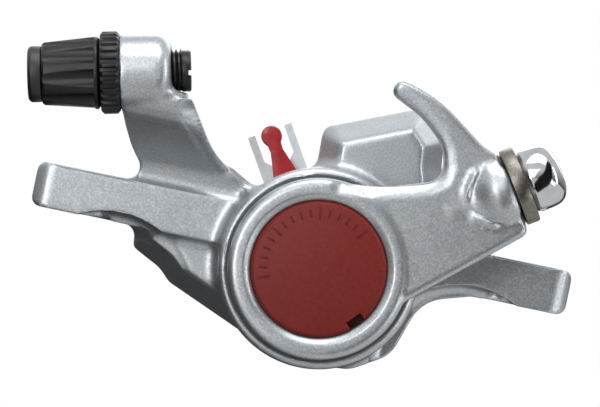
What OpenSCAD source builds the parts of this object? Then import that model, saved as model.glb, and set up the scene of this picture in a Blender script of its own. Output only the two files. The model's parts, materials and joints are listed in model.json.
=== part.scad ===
// Mechanical disc brake caliper: a two-piece cast body bolts to two posts, and a cable
// arm turns a ball and ramp cam that presses the outer pad on the rotor.
// X runs along the mounting ears, Y points inboard, towards the wheel, and Z points up
// from the ears' seating face. The origin lies midway between the mounting slots.

/* [Mounting ears] */
// Distance between the centres of the two mounting slots
post_spacing = 74; // [70:0.5:78]
// Length over both ears
ear_span = 96.3; // [94:0.5:104]
// Height of an ear
ear_h = 7.8; // [7:0.2:9]
// Width of an ear, across the rotor's plane
ear_w = 16; // [15:0.5:17]
// Width of a mounting slot
slot_w = 6.6; // [6.2:0.1:7.2]
// Length of a mounting slot, which lets the caliper shift sideways
slot_l = 13; // [9:0.5:13]
// Depth of the hollow in the front lower edge of each ear
scoop_depth = 1.8; // [1:0.1:2.4]

/* [Rotor and pads] */
// Piston axis to the right of the middle of the ears
axis_x = 4; // [3:0.25:5]
// Piston axis above the ears' seating face
axis_z = -0.7; // [-1.5:0.1:0.5]
// Middle plane of the rotor, inboard of the middle of the ears
rotor_y = 12; // [11.8:0.1:12.6]
// Diameter of the rotor
rotor_d = 160; // [158:1:161]
// Piston axis from the centre of the rotor
piston_reach = 70; // [69:0.5:71]
// Width of the slot in the body for the rotor
rotor_slot = 5.2; // [4.8:0.1:5.6]
// Direction of the pads' tabs, counted from the ears
pad_angle = 121.4; // [118:0.2:125]
// Diameter of a pad's backing plate
pad_d = 24.4; // [24:0.1:24.6]
// Thickness of a pad's backing plate
pad_plate_t = 1.8; // [1.4:0.1:2]
// Thickness of the friction lining
lining_t = 2.2; // [1.4:0.1:2.4]
// Gap between the two linings at rest
lining_gap = 2.8; // [2.6:0.1:3.2]
// Radius of the round end of a pad's tab
tab_head_r = 1.85; // [1.5:0.05:2.1]
// Tip of a pad's tab from the piston axis
tab_reach = 26.8; // [25:0.1:28]

/* [Caliper body] */
// Diameter of the housing round the mechanism
housing_d = 35.4; // [34.8:0.1:36]
// Front face of the housing, outboard of the middle of the ears
housing_front = 12; // [11.5:0.1:12.5]
// Thickness of the housing's front wall
front_wall = 5.2; // [4.8:0.1:5.6]
// Diameter of the bore for the mechanism
bore_d = 24; // [23.4:0.1:24.2]
// Diameter of the inner half's housing
inner_housing_d = 31; // [29:0.5:33]
// Outboard face of the inner half to its inboard end
inner_depth = 13.5; // [13:0.1:14]
// Distance between the two body bolts
bolt_spacing = 33; // [32:0.5:35]
// Body bolts from the piston axis, along the pads' tabs
bolt_rise = 15.6; // [15:0.1:16.5]
// Diameter of the body bolts
bolt_d = 6; // [5:0.5:6]

/* [Arm and clamp] */
// Sweep of the arm from rest to its stop, in degrees
arm_sweep = 34; // [28:1:36]
// Stroke of the outer pad over that sweep
arm_stroke = 1.2; // [0.8:0.05:1.3]
// Gap between the housing and the arm at rest
arm_gap = 2.1; // [2:0.1:2.5]
// Thickness of the arm
arm_t = 8.9; // [8.5:0.1:9.5]
// Outer diameter of the arm's hub
arm_hub_d = 31.6; // [31:0.1:32.2]
// Diameter of the cap in the hub
cap_d = 23.7; // [23:0.1:24]
// Diameter of the round end that carries the clamp
arm_end_d = 13.5; // [12.5:0.1:14]
// Diameter of the clamp washer
clamp_washer_d = 13.8; // [12.6:0.1:14.4]
// Thickness of the clamp washer
clamp_washer_t = 2.5; // [2:0.1:2.8]
// Diameter of the clamp bolt's thread
clamp_bolt_d = 6; // [5:0.5:6]
// Diameter of the clamp bolt's head
clamp_head_d = 10.8; // [10:0.1:11.4]
// Width of the groove for the cable
cable_groove_w = 1.8; // [1.6:0.1:2.4]

/* [Ball and ramp drive] */
// Diameter of the balls
ball_d = 5; // [4.6:0.1:5.2]
// Radius of the circle that the balls roll on
ball_circle_r = 8.6; // [8.4:0.1:8.7]
// Thickness of the fixed race
race_t = 2.9; // [2.7:0.1:3.1]
// Diameter of the cam's shaft
shaft_d = 10.4; // [10:0.1:10.8]

/* [Cable stop] */
// Rise of the barrel's axis, in degrees
barrel_tilt = 13; // [10:1:16]
// Diameter of the boss that holds the barrel
boss_d = 12.8; // [12.4:0.1:13.4]
// Length of the boss
boss_l = 9; // [8:0.2:9.6]
// Diameter of the barrel's thread
barrel_thread_d = 7.9; // [7:0.1:8.2]
// Length of thread behind the boss
barrel_tail = 3.4; // [2:0.2:4]
// Diameter of the knurled lock ring
ring_d = 14.4; // [13.8:0.1:15]
// Thickness of the lock ring
ring_t = 3.35; // [2.8:0.05:4]
// Length of the fluted grip
grip_l = 10.1; // [9:0.1:11]
// Diameter of the cable housing
cable_housing_d = 5; // [4:0.5:5]

/* [Inner adjuster] */
// Diameter of the adjusting knob
knob_d = 20.4; // [19:0.1:21]
// Diameter of the adjusting screw
screw_d = 14; // [12:0.5:14]

/* [Hidden] */
$fn = 96;
fit = 0.05;
running = 0.3;

// Planes across the caliper, as places along Y
outer_face = rotor_y - rotor_slot / 2;
inner_face = rotor_y + rotor_slot / 2;
pocket_depth = 3.1;
outer_pocket = outer_face - pocket_depth;
inner_pocket = inner_face + pocket_depth;
body_front = -housing_front;
cavity_floor = body_front + front_wall;
arm_back = body_front - arm_gap;
arm_front = arm_back - arm_t;
cable_y = (arm_back + arm_front) / 2;
inner_back = inner_face - 1.1 + inner_depth;

// The outer pad and what presses it
outer_lining_face = rotor_y - lining_gap / 2;
outer_plate_back = outer_lining_face - lining_t - pad_plate_t;
foot_front = outer_plate_back - fit;
foot_t = 3;
thrust_t = 0.8;
thrust_front = foot_front - foot_t - fit;
cam_front = thrust_front - thrust_t - fit;
race_front = cavity_floor + race_t;
ball_r = ball_d / 2;
race_groove = 1.2;
ramp_groove = 1.9;
ball_y = race_front - race_groove + ball_r;
cam_face = ball_y + ball_r - ramp_groove;
groove_r = ball_r + 0.1;
roll = arm_sweep / 2;
ramp_slope = atan(arm_stroke / (ball_circle_r * roll * PI / 180));
ball_angles = [30, 150, 270];

// The inner pad and its adjuster
inner_lining_face = rotor_y + lining_gap / 2;
inner_plate_back = inner_lining_face + lining_t + pad_plate_t;
adjuster_foot_t = 1.75;
screw_front = inner_plate_back + fit + adjuster_foot_t + fit;
adjuster_foot_d = 18.4;
foot_chamber = inner_plate_back + 3;
knob_recess = inner_back - 3.2;
knob_t = 3.7;
knob_back = inner_back + 2.3;
knob_front = knob_back - knob_t;

// The arm's hub
web_front = arm_front + 3.6;
web_t = 2.5;
web_back = web_front + web_t;
hub_boss_r = 7.2;
bush_wall = 1.3;
seal_in = 12.1;
seal_out = 16.25;
seal_well = 0.8;
seal_play = 0.1;
hex_af = 8;
shoulder_y = arm_back - running;
cap_r = cap_d / 2;
cap_seat_r = cap_r + 0.1;
cap_back = arm_front + 0.65;
arm_washer_t = 0.6;
arm_bolt_r = 3;
arm_bolt_brim = 2;
arm_bolt_key = 4;
arm_washer_brim = 3.5;
hub_well_r = seal_in + seal_play;

// Pads, window and bridges, in the frame of the pads' tabs
pocket_half = pad_d / 2 + running;
pocket_top = pad_d / 2 + 0.8;
passage_half = 5.2;
lining_top = rotor_d / 2 - piston_reach - 0.7;
passage_top = 20;
rotor_clear_r = rotor_d / 2 + 1.6;
window_foot = 5.6;
window_head = 9.4;
bridge_end = 26.8;
bridge_top = 23.2;
flange_front = -5;
flange_back = rotor_y;

// The cable stop's place, from the ears' middle and seating face
boss_x = -36.9;
boss_z = 25.8;
grip_gap = 0.15;
ring_start = -fit;
ring_end = ring_start - ring_t;
grip_start = ring_end - grip_gap;
grip_end = grip_start - grip_l;
collar_l = 2.4;
collar_end = grip_end - fit - collar_l;
sleeve_r = cable_housing_d / 2 + 0.7;
sleeve_l = 6;
housing_bore_r = cable_housing_d / 2 + 0.1;
cable_hole_r = 1.3;

// The clamp's place on the arm, and its direction
clamp_x = 34.3;
clamp_z = 19.95;
clamp_angle = 33.6;
clamp_hole_l = 13;

// Rounded outlines: a corner is [x, y, radius], and the corners run counter-clockwise
function unit(v) = v / norm(v);
function left_of(v) = [-v[1], v[0]];
function turned(v, a) = [v[0] * cos(a) - v[1] * sin(a), v[0] * sin(a) + v[1] * cos(a)];
function crossing(a, b) = a[0] * b[1] - a[1] * b[0];
function corner_arc(p, e1, e2, r, steps) =
    let (
        turn = acos(max(-1, min(1, e1 * e2))),
        side = sign(crossing(e1, e2)),
        out = -side * r * left_of(e1),
        centre = p - e1 * r * tan(turn / 2) - out
    )
    [for (i = [0:steps]) centre + turned(out, side * turn * i / steps)];
function rounded(corners, inset = 0, steps = 5, least = 0.2) = [
    for (i = [0:len(corners) - 1])
        let (
            n = len(corners),
            a = corners[(i + n - 1) % n],
            b = corners[i],
            c = corners[(i + 1) % n],
            e1 = unit([b[0] - a[0], b[1] - a[1]]),
            e2 = unit([c[0] - b[0], c[1] - b[1]]),
            n1 = left_of(e1),
            n2 = left_of(e2),
            p = [b[0], b[1]] + inset * (n1 + n2) / (1 + n1 * n2),
            r = crossing(e1, e2) > 0 ? b[2] - inset : b[2] + inset
        )
        each corner_arc(p, e1, e2, max(least, r), steps)
];

// A solid through outlines at rising places along Y; every outline has as many points
module lofted(outlines, places) {
    n = len(outlines[0]);
    last = len(outlines) - 1;
    points = [for (k = [0:last]) for (p = outlines[k]) [p[0], places[k], p[1]]];
    sides = [
        for (k = [0:last - 1]) for (i = [0:n - 1])
            let (j = (i + 1) % n)
            [k * n + i, k * n + j, (k + 1) * n + j, (k + 1) * n + i]
    ];
    front = [[for (i = [n - 1:-1:0]) i]];
    back = [[for (i = [0:n - 1]) last * n + i]];
    polyhedron(points, concat(sides, front, back), convexity = 8);
}

// What lies between two places along Y
module between(y0, y1) {
    reach = 80;
    intersection() {
        children();
        translate([-reach, y0, -reach])
            cube([2 * reach, y1 - y0, 2 * reach]);
    }
}

// The outline's inset on a straight line through two [inset, place] points
function on_line(a, b, place) = a[0] + (b[0] - a[0]) * (place - a[1]) / (b[1] - a[1]);

// A loft through [inset, place] points, run on past both ends and cut off square there
module trimmed_loft(corners, rings, steps = 5) {
    over = 0.05;
    last = len(rings) - 1;
    y0 = rings[0][1];
    y1 = rings[last][1];
    ends = [
        [on_line(rings[1], rings[0], y0 - over), y0 - over],
        [on_line(rings[last - 1], rings[last], y1 + over), y1 + over]
    ];
    middle = [for (k = [1:last - 1]) rings[k]];
    all_rings = concat([ends[0]], middle, [ends[1]]);
    between(y0, y1)
        lofted(
            [for (r = all_rings) rounded(corners, r[0], steps)],
            [for (r = all_rings) r[1]]
        );
}

// A plate from y0 to y1 whose front and back edges are rounded
module soft_plate(corners, y0, y1, front_r, back_r) {
    turns = [90, 60, 30, 0];
    fronts = [for (a = turns) [front_r * (1 - cos(a)), y0 + front_r * (1 - sin(a))]];
    backs = [for (a = [0, 45, 90]) [back_r * (1 - cos(a)), y1 - back_r * (1 - sin(a))]];
    trimmed_loft(corners, concat(fronts, backs));
}

// A flat shape drawn in X and Z, made solid from y0 to y1
module plate(y0, y1) {
    translate([0, y1, 0])
        rotate([90, 0, 0])
            linear_extrude(y1 - y0)
                children();
}

// Frames: z runs inboard along the piston axis; z runs outboard; x and z follow the pads
module on_axis() {
    translate([axis_x, 0, axis_z])
        rotate([-90, 0, 0])
            children();
}
module facing_out() {
    translate([axis_x, 0, axis_z])
        rotate([90, 0, 0])
            children();
}
module pad_frame() {
    translate([axis_x, 0, axis_z])
        rotate([0, 90 - pad_angle, 0])
            children();
}
module barrel_frame() {
    translate([boss_x, cable_y, boss_z])
        rotate([0, 90 - barrel_tilt, 0])
            children();
}
module clamp_frame() {
    translate([clamp_x, cable_y, clamp_z])
        rotate([0, 90 - clamp_angle, 0])
            children();
}

// A cylinder or a tube between two places on its own axis
module rod(z0, z1, r) {
    translate([0, 0, z0])
        cylinder(h = z1 - z0, r = r);
}
module tube(z0, z1, r_in, r_out) {
    rotate_extrude()
        polygon([[r_in, z0], [r_out, z0], [r_out, z1], [r_in, z1]]);
}
module hexagon(z0, z1, af) {
    translate([0, 0, z0])
        cylinder(h = z1 - z0, r = af / 2 / cos(30), $fn = 6);
}
module each_side() {
    for (side = [-1, 1])
        translate([side * bolt_spacing / 2, 0, bolt_rise])
            rotate([-90, 0, 0])
                children();
}

// The two halves share this outline, seen from the front in the frame of the pads
flange_corners = [
    [14.3, -9.4, 2], [25.9, 6.6, 2.5], [26.6, 9.5, 3], [28.5, 13.5, 2],
    [bridge_end, 20.6, 3], [window_head, bridge_top, 2.2], [window_foot, 16.6, 0.5],
    [-window_foot, 16.6, 0.5], [-window_head, bridge_top, 2.2],
    [-bridge_end, 20.6, 3], [-29.8, 14.6, 1.2], [-26.6, 9.5, 3],
    [-25.9, 6.6, 2.5], [-14.3, -9.4, 2]
];

module rotor_and_pad_cuts() {
    pad_frame() {
        translate([0, 0, -piston_reach])
            rotate([-90, 0, 0])
                rod(outer_face, inner_face, rotor_clear_r, $fn = 180);
        translate([-pocket_half, outer_pocket, -housing_d])
            cube([2 * pocket_half, inner_pocket - outer_pocket, housing_d + pocket_top]);
        translate([-passage_half, outer_pocket, 0])
            cube([2 * passage_half, inner_pocket - outer_pocket, passage_top]);
    }
}

// One long bar makes both ears; its ends are rounded in front view and in plan
module ear_bar() {
    half = ear_span / 2;
    end_r = 1.6;
    plan_r = 3;
    intersection() {
        plate(-ear_w / 2, ear_w / 2)
            polygon(rounded([
                [-half, 0, end_r], [half, 0, end_r],
                [half, ear_h, end_r], [-half, ear_h, end_r]
            ]));
        linear_extrude(ear_h)
            polygon(rounded([
                [-half, -ear_w / 2, plan_r], [half, -ear_w / 2, plan_r],
                [half, ear_w / 2, plan_r], [-half, ear_w / 2, plan_r]
            ]));
    }
}

module ear_cuts() {
    scoop_r = 16;
    scoop_x = post_spacing / 2 - 5;
    scoop_reach = 4.5;
    run = (slot_l - slot_w) / 2;
    for (side = [-1, 1]) {
        translate([side * post_spacing / 2, 0, 0]) {
            for (end = [-run, run])
                translate([0, end, 0])
                    rod(-1, ear_h + 1, slot_w / 2);
            translate([-slot_w / 2, -run, -1])
                cube([slot_w, 2 * run, ear_h + 2]);
        }
        translate([side * scoop_x, -ear_w / 2 - 1, scoop_depth - scoop_r])
            rotate([-90, 0, 0])
                rod(0, scoop_reach, scoop_r);
    }
}

// The cable stop leans outboard from the ear to the boss: a front view meets a side view
module cable_stop() {
    lean_front = cable_y - boss_d / 2 + 1.6;
    lean_back = cable_y + boss_d / 2 - 0.6;
    intersection() {
        plate(lean_front, ear_w / 2)
            polygon(rounded([
                [0, 2, 0.5], [-1, 15.2, 0.5], [-11.4, 10.4, 4.5], [-18.6, 15.6, 14],
                [-23.9, 23.9, 0.6], [-27.9, 22.9, 0.5], [-29.5, 28.8, 0.5],
                [-37.6, 29, 0.5], [-34.6, 18, 16],
                [-32.4, 13.4, 14], [-29.5, 9.8, 2.4], [-33.5, 5.4, 0.5], [-24, 1, 0.5]
            ]));
        translate([-ear_span / 2, 0, 0])
            rotate([90, 0, 90])
                linear_extrude(ear_span)
                    polygon(rounded([
                        [1 - ear_w / 2, 0, 0.5], [6, 0, 0.5], [6, 12, 4],
                        [lean_back, 22.5, 7], [lean_back, 34, 0.5],
                        [lean_front, 34, 0.5], [lean_front, 21, 9],
                        [1 - ear_w / 2, 11.4, 5]
                    ]));
    }
    barrel_frame() {
        edge = 2.6;
        rotate_extrude()
            polygon(concat(
                [[0, 0], [boss_d / 2, 0]],
                [for (a = [0:15:90]) [
                    boss_d / 2 - edge * (1 - cos(a)), boss_l - edge * (1 - sin(a))
                ]],
                [[0, boss_l]]
            ));
    }
}

// A web carries the housing's lower right flank out to the right ear
module right_web() {
    plate(1 - ear_w / 2, outer_face - 1)
        polygon(rounded([
            [4, 5, 0.5], [5, -16.5, 0.5], [12.4, -17.4, 6], [19.6, -13.2, 6],
            [23, -2.6, 7], [33.5, 0.6, 1], [33.5, ear_h - 1, 0.5]
        ]));
}

module housing_shell() {
    edge = 1.3;
    r = housing_d / 2;
    end = outer_face + 1;
    on_axis()
        rotate_extrude()
            polygon(concat(
                [[0, end], [0, body_front]],
                [for (a = [0:18:90]) [
                    r - edge * (1 - sin(a)), body_front + edge * (1 - cos(a))
                ]],
                [[r, end]]
            ));
}

module outer_flange() {
    shoulder = 3.2;
    draft_end = 3;
    pad_frame()
        trimmed_loft(flange_corners, [
            [shoulder + 0.7, flange_front], [shoulder, flange_front + 0.8],
            [0, draft_end], [0, flange_back]
        ]);
}

module outer_half() {
    spring_in = 8.4;
    spring_out = 11.4;
    spring_well = 2.2;
    bush_r = shaft_d / 2 + bush_wall;
    bolt_tip = -2.5;
    color("silver")
        difference() {
            union() {
                housing_shell();
                outer_flange();
                ear_bar();
                cable_stop();
                right_web();
            }
            ear_cuts();
            rotor_and_pad_cuts();
            on_axis() {
                rod(cavity_floor, outer_face + 1, bore_d / 2);
                rod(body_front - 1, cavity_floor + 1, bush_r);
                tube(body_front - 1, body_front + spring_well, spring_in, spring_out);
                tube(body_front - 1, body_front + seal_well, seal_in, seal_out);
            }
            pad_frame()
                each_side()
                    rod(bolt_tip, flange_back + 1, bolt_d / 2);
            barrel_frame()
                rod(-1, boss_l + barrel_tail + 1, barrel_thread_d / 2 + fit);
        }
}

module inner_half() {
    r = inner_housing_d / 2;
    edge = 2;
    flange_end = inner_face + 7;
    boss_r = bolt_d / 2 + 3.4;
    counterbore = 6;
    color("silver")
        difference() {
            union() {
                on_axis()
                    rotate_extrude()
                        polygon(concat(
                            [[0, inner_face - 1]], [[r, inner_face - 1]],
                            [for (a = [0:18:90]) [
                                r - edge * (1 - cos(a)), inner_back - edge * (1 - sin(a))
                            ]],
                            [[0, inner_back]]
                        ));
                pad_frame() {
                    trimmed_loft(flange_corners, [
                        [0, flange_back], [0, flange_end - 3], [2, flange_end]
                    ]);
                    each_side()
                        rod(flange_back, flange_end + 1.5, boss_r);
                }
            }
            rotor_and_pad_cuts();
            on_axis() {
                rod(inner_face, foot_chamber, adjuster_foot_d / 2 + running);
                rod(inner_face, inner_back, screw_d / 2 + fit);
                rod(knob_recess, inner_back + 1, knob_d / 2 + running);
            }
            pad_frame()
                each_side() {
                    rod(flange_back - 1, flange_end, bolt_d / 2 + 0.2);
                    rod(flange_end + 1.5 - counterbore, flange_end + 2, bolt_d * 0.9);
                }
        }
}

module body_bolts() {
    head_r = bolt_d * 0.83;
    flange_end = inner_face + 7;
    seat = flange_end - 4.5;
    socket = bolt_d * 0.83;
    color("dimgray")
        pad_frame()
            each_side()
                difference() {
                    union() {
                        rod(-1.5, seat + 1, bolt_d / 2 - fit);
                        rotate_extrude()
                            polygon([
                                [0, seat], [head_r, seat], [head_r, seat + bolt_d - 0.5],
                                [head_r - 0.5, seat + bolt_d], [0, seat + bolt_d]
                            ]);
                    }
                    hexagon(seat + bolt_d / 2, seat + bolt_d + 1, socket);
                }
}

// A groove that the balls roll in: an arc of a ring, tilted where it is a ramp
module ball_grooves(mid_angle, mid_place, slope) {
    run_out = 18;
    span = roll + 2 * run_out;
    facing_out()
        for (a = ball_angles)
            translate([0, 0, -mid_place])
                rotate([0, 0, a + mid_angle])
                    rotate([-slope, 0, 0])
                        rotate([0, 0, -span / 2])
                            rotate_extrude(angle = span)
                                translate([ball_circle_r, 0])
                                    circle(groove_r, $fn = 48);
}

module ball_race() {
    color("lightgray")
        difference() {
            on_axis()
                tube(cavity_floor, race_front, shaft_d / 2 + running, bore_d / 2 - fit);
            ball_grooves(roll / 2, ball_y, 0);
        }
}

module drive_cam() {
    thread_end = body_front + 4;
    color("darkgray")
        difference() {
            on_axis() {
                rod(cam_face, cam_front, bore_d / 2 - running);
                rod(shoulder_y, cam_face + 1, shaft_d / 2);
                hexagon(web_front + 0.1, shoulder_y + 0.5, hex_af);
            }
            ball_grooves(-roll / 2, ball_y - arm_stroke / 2, ramp_slope);
            on_axis()
                rod(web_front - 1, thread_end, arm_bolt_r);
        }
}

module balls() {
    color("white")
        facing_out()
            for (a = ball_angles)
                rotate([0, 0, a])
                    translate([ball_circle_r, 0, -ball_y])
                        sphere(ball_r, $fn = 48);
}

module shaft_bush() {
    color("goldenrod")
        on_axis()
            tube(
                body_front + 0.2, cavity_floor,
                shaft_d / 2 + fit, shaft_d / 2 + bush_wall
            );
}

module dust_seal() {
    proud = 0.7;
    bevel = 1;
    bevel_h = 0.4;
    r_in = seal_in + seal_play;
    r_out = seal_out - fit;
    color("black")
        on_axis()
            rotate_extrude()
                polygon([
                    [r_in, body_front + seal_well], [r_in, body_front - proud + bevel_h],
                    [r_in + bevel, body_front - proud], [r_out - bevel, body_front - proud],
                    [r_out, body_front - proud + bevel_h], [r_out, body_front + seal_well]
                ]);
}

// A wire wound round the shaft: points on a helix carry a ring of wire section
module return_spring() {
    wire_r = 0.75;
    coil_r = 9.8;
    coils = 2.75;
    per_turn = 18;
    sides = 8;
    start = web_back + wire_r + 0.1;
    finish = body_front + 2.2 - wire_r - 0.1;
    steps = ceil(coils * per_turn);
    rings = [
        for (i = [0:steps]) for (k = [0:sides - 1])
            let (
                a = 360 * coils * i / steps,
                t = 360 * k / sides,
                r = coil_r + wire_r * cos(t)
            )
            [r * cos(a), r * sin(a), start + (finish - start) * i / steps + wire_r * sin(t)]
    ];
    walls = [
        for (i = [0:steps - 1]) for (k = [0:sides - 1])
            let (m = (k + 1) % sides)
            [i * sides + k, i * sides + m, (i + 1) * sides + m, (i + 1) * sides + k]
    ];
    caps = [[for (k = [sides - 1:-1:0]) k], [for (k = [0:sides - 1]) steps * sides + k]];
    color("silver")
        on_axis()
            polyhedron(rings, concat(walls, caps), convexity = 6);
}

module thrust_washer() {
    color("khaki")
        on_axis()
            tube(thrust_front - thrust_t, thrust_front, 4, bore_d / 2 - 1.5);
}

module pressure_foot() {
    r = bore_d / 2 - 0.1;
    nose_r = 9.5;
    color("gray")
        on_axis()
            rotate_extrude()
                polygon([
                    [0, foot_front - foot_t], [r, foot_front - foot_t],
                    [r, foot_front - 0.9], [nose_r + 1, foot_front - 0.5],
                    [nose_r, foot_front], [3, foot_front], [2, foot_front - 1],
                    [0, foot_front - 1]
                ]);
}

// A pad: a stamped plate with a pin-shaped tab, and a lining cut off under the rotor's edge
module pad_plate(y0) {
    shoulder_half = 5;
    base_half = 2.15;
    neck_half = 1.15;
    head_z = tab_reach - tab_head_r;
    color("firebrick")
        pad_frame()
            plate(y0, y0 + pad_plate_t) {
                circle(d = pad_d);
                translate([0, head_z])
                    circle(tab_head_r);
                polygon([
                    [-shoulder_half, pad_d / 2 - 1.6], [shoulder_half, pad_d / 2 - 1.6],
                    [base_half + 0.6, pad_d / 2 + 1.6], [base_half, pad_d / 2 + 5.6],
                    [neck_half, head_z - 2.8], [neck_half + 0.1, head_z - 1.2],
                    [-neck_half - 0.1, head_z - 1.2], [-neck_half, head_z - 2.8],
                    [-base_half, pad_d / 2 + 5.6], [-base_half - 0.6, pad_d / 2 + 1.6]
                ]);
            }
}
module pad_lining(y0) {
    lining_r = pad_d / 2 - 1.2;
    color("sienna")
        pad_frame()
            plate(y0, y0 + lining_t)
                intersection() {
                    circle(lining_r);
                    translate([-pad_d, -pad_d])
                        square([2 * pad_d, pad_d + lining_top]);
                }
}
module outer_pad_plate() {
    pad_plate(outer_plate_back);
}
module outer_pad_lining() {
    pad_lining(outer_plate_back + pad_plate_t);
}
module inner_pad_plate() {
    pad_plate(inner_plate_back - pad_plate_t);
}
module inner_pad_lining() {
    pad_lining(inner_lining_face);
}

// A sheet spring between the two plates: each leaf has a band above the lining and two
// prongs beside the tab, and each pair of prongs is joined by a bend at the top
module pad_clip() {
    sheet = 0.7;
    prong_in = 2.8;
    prong_out = 4.1;
    band_low = lining_top + 0.4;
    band_half = 4.9;
    prong_top = tab_reach - 0.8;
    leaf_faces = [
        outer_plate_back + pad_plate_t + fit,
        inner_plate_back - pad_plate_t - fit - sheet
    ];
    color("whitesmoke")
        pad_frame() {
            for (y0 = leaf_faces)
                plate(y0, y0 + sheet) {
                    translate([-band_half, band_low])
                        square([2 * band_half, 3]);
                    for (side = [0, 1])
                        mirror([side, 0])
                            polygon([
                                [prong_in, band_low], [prong_out, band_low],
                                [prong_out, prong_top], [prong_in, prong_top],
                                [prong_in, 21], [0.5, 18.6], [0.5, band_low]
                            ]);
                }
            for (side = [0, 1])
                mirror([side, 0, 0])
                    translate([prong_in, leaf_faces[0], prong_top - sheet])
                        cube([
                            prong_out - prong_in,
                            leaf_faces[1] + sheet - leaf_faces[0],
                            sheet
                        ]);
        }
}

// The arm, seen from the front: a hub, a blade up to the clamp, and a horn that the
// cable wraps round
arm_corners = [
    [14, -6.5, 1], [20, -3, 8], [38.5, 12.9, 1.5], [30.2, 25.1, 1.4],
    [27.6, 26.1, 8], [18, 33, 24], [10.9, 34.6, 1.5], [10.2, 31.9, 1.5],
    [16.3, 29, 14], [21.1, 24.7, 7], [22.2, 18.8, 3.2], [12.2, 15.5, 9], [7, 11.2, 1]
];

module arm_hub() {
    r = arm_hub_d / 2;
    edge = 1.4;
    lip_r = 13.2;
    on_axis()
        rotate_extrude()
            polygon(concat(
                [
                    [0, web_front], [cap_seat_r, web_front],
                    [cap_seat_r, arm_front + 0.8], [lip_r, arm_front]
                ],
                [for (a = [0:18:90]) [
                    r - edge * (1 - sin(a)), arm_front + edge * (1 - cos(a))
                ]],
                [
                    [r, arm_back - 0.5], [r - 0.5, arm_back], [hub_well_r, arm_back],
                    [hub_well_r, web_back], [hub_boss_r, web_back],
                    [hub_boss_r, shoulder_y], [0, shoulder_y]
                ]
            ));
}

module torque_arm() {
    groove_depth = 1.2;
    end_l = 8;
    end_edge = 1;
    end_r = arm_end_d / 2;
    clamp_groove = 0.7;
    thread_r = clamp_bolt_d / 2;
    clearance = 0.03;
    blade_inset = 0.3;
    color("silver")
        difference() {
            union() {
                difference() {
                    soft_plate(
                        arm_corners, arm_front + blade_inset, arm_back - blade_inset,
                        0.9, 0.8
                    );
                    on_axis()
                        rod(arm_front - 1, arm_back + 1, arm_hub_d / 2 - 1.5);
                }
                arm_hub();
                clamp_frame()
                    rotate_extrude()
                        polygon([
                            [0, -end_l], [end_r - 1.5, -end_l], [end_r, -end_l + 2.5],
                            [end_r, -end_edge], [end_r - 0.3, -0.3],
                            [end_r - end_edge, 0], [0, 0]
                        ]);
            }
            on_axis()
                hexagon(web_front - 1, shoulder_y + 1, hex_af + 2 * clearance);
            plate(cable_y - cable_groove_w / 2, cable_y + cable_groove_w / 2)
                difference() {
                    polygon([[10, 31.5], [16, 29.6], [27, 22], [34, 28], [20, 40], [6, 38]]);
                    polygon(rounded(arm_corners, groove_depth));
                }
            clamp_frame() {
                rod(-clamp_hole_l, 1, thread_r);
                translate([-arm_end_d, -thread_r - cable_groove_w, -clamp_groove])
                    cube([2 * arm_end_d, cable_groove_w, clamp_groove + 1]);
            }
        }
}

module arm_washer() {
    color("gainsboro")
        on_axis()
            tube(web_front - arm_washer_t, web_front, arm_bolt_r + 0.1, arm_bolt_r + arm_washer_brim);
}

module arm_bolt() {
    head_t = 2.1;
    head_r = arm_bolt_r + arm_bolt_brim;
    seat = web_front - arm_washer_t;
    color("dimgray")
        on_axis()
            difference() {
                union() {
                    rod(seat - head_t, seat, head_r);
                    rod(seat - 1, body_front + 3, arm_bolt_r - fit);
                }
                hexagon(seat - head_t - 1, seat - 0.7, arm_bolt_key);
            }
}

// The cap is a shallow domed cup with a notch in its rim for a pick
module arm_cap() {
    rim = arm_front + 0.15;
    dome = 0.9;
    skirt = 1.4;
    notch_angle = -43;
    notch_w = 3;
    notch_depth = 1.5;
    dome_r = (cap_r * cap_r + dome * dome) / (2 * dome);
    color("firebrick")
        difference() {
            on_axis()
                rotate_extrude()
                    polygon(concat(
                        [for (i = [0:6]) let (r = (cap_r - 0.5) * i / 6) [
                            r, rim - dome + dome_r - sqrt(dome_r * dome_r - r * r)
                        ]],
                        [
                            [cap_r, rim + 0.5], [cap_r, web_front - 0.15],
                            [cap_r - skirt, web_front - 0.15],
                            [cap_r - skirt, cap_back], [0, cap_back]
                        ]
                    ));
            facing_out()
                rotate([0, 0, notch_angle])
                    translate([cap_r - notch_depth, -notch_w / 2, -web_front + 0.6])
                        cube([notch_depth + 1, notch_w, arm_t]);
        }
}

module clamp_washer() {
    edge = 0.4;
    r = clamp_washer_d / 2;
    hole = clamp_bolt_d / 2 + 0.1;
    color("slategray")
        clamp_frame()
            rotate_extrude()
                polygon([
                    [hole, 0], [r - edge, 0], [r, edge], [r, clamp_washer_t - edge],
                    [r - edge, clamp_washer_t], [hole, clamp_washer_t]
                ]);
}

module clamp_bolt() {
    head_r = clamp_head_d / 2;
    head_h = 6.7;
    flat_r = 3.1;
    skirt = 3;
    base = clamp_washer_t;
    color("lightgray")
        clamp_frame()
            difference() {
                union() {
                    rod(1 - clamp_hole_l, base + 1, clamp_bolt_d / 2 - fit);
                    rotate_extrude()
                        polygon(concat(
                            [[0, base], [head_r, base]],
                            [for (a = [0:15:90]) [
                                flat_r + (head_r - flat_r) * cos(a),
                                base + skirt + (head_h - skirt) * sin(a)
                            ]],
                            [[0, base + head_h]]
                        ));
                }
                hexagon(base + head_h - 3.4, base + head_h + 1, 5);
            }
}

module adjuster_foot() {
    color("gray")
        on_axis()
            rotate_extrude()
                polygon([
                    [0, inner_plate_back + fit],
                    [adjuster_foot_d / 2, inner_plate_back + fit],
                    [adjuster_foot_d / 2, screw_front - fit - 0.4],
                    [adjuster_foot_d / 2 - 0.4, screw_front - fit], [0, screw_front - fit]
                ]);
}

module adjuster_screw() {
    color("darkgray")
        on_axis() {
            rod(screw_front, knob_front, screw_d / 2);
            hexagon(knob_front - 0.5, knob_back - 1.2, 8);
        }
}

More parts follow.
